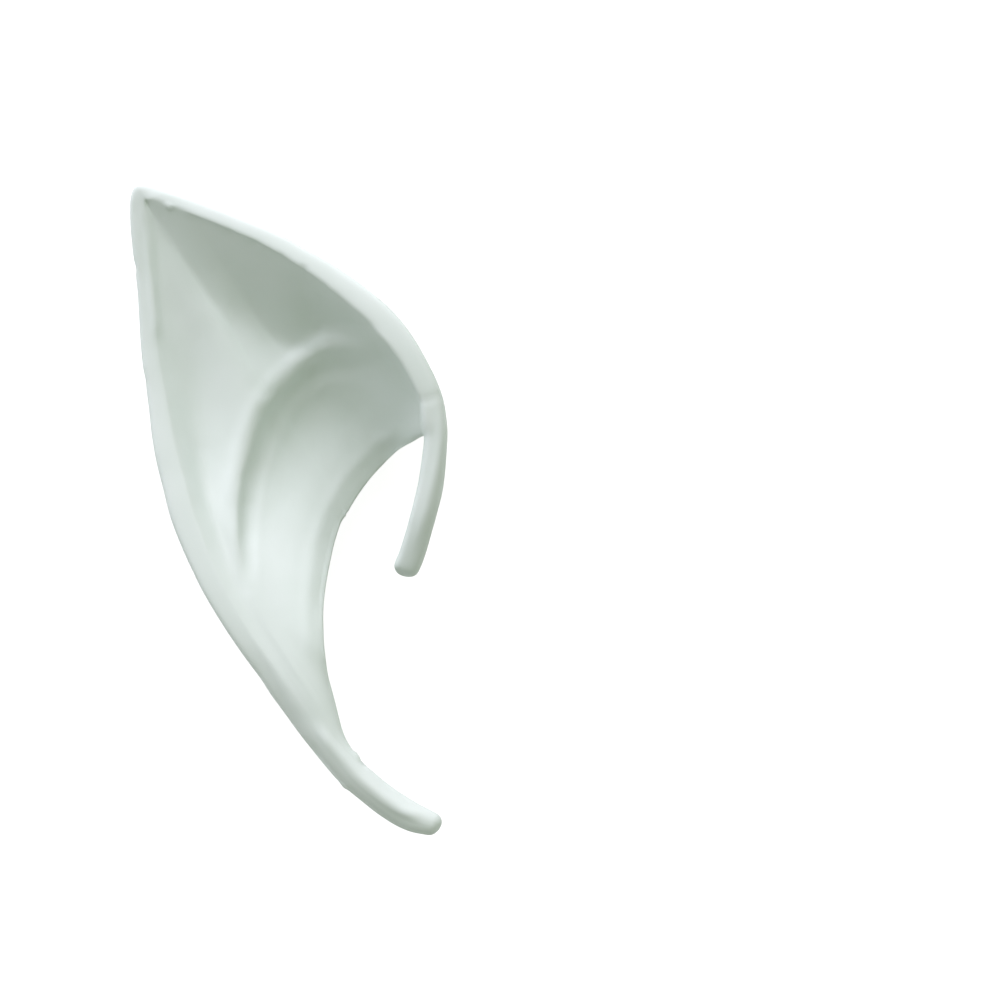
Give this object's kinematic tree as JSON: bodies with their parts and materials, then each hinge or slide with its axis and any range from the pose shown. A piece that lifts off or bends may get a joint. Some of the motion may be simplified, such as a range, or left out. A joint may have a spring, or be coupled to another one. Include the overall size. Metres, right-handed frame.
{
  "type": "elf ear tip",
  "caption": "Pointed fantasy ear tip of soft latex with a sculpted bowl, a rolled rim, a front hook, a long tail and a pocket behind that slips over the wearer's ear.",
  "frame": {"origin": "under the middle of the ear's bounding box, in the plane that the ear lies on", "axes": "+Z out of the bowl, away from the back wall; +Y from the tail towards the pointed tip; +X from the back edge towards the wearer's face"},
  "size_m": [0.047, 0.0968, 0.025],
  "materials": {
    "latex": "satin"
  },
  "bodies": {
    "root": {"ear_tip": "latex"}
  },
  "joints": []
}
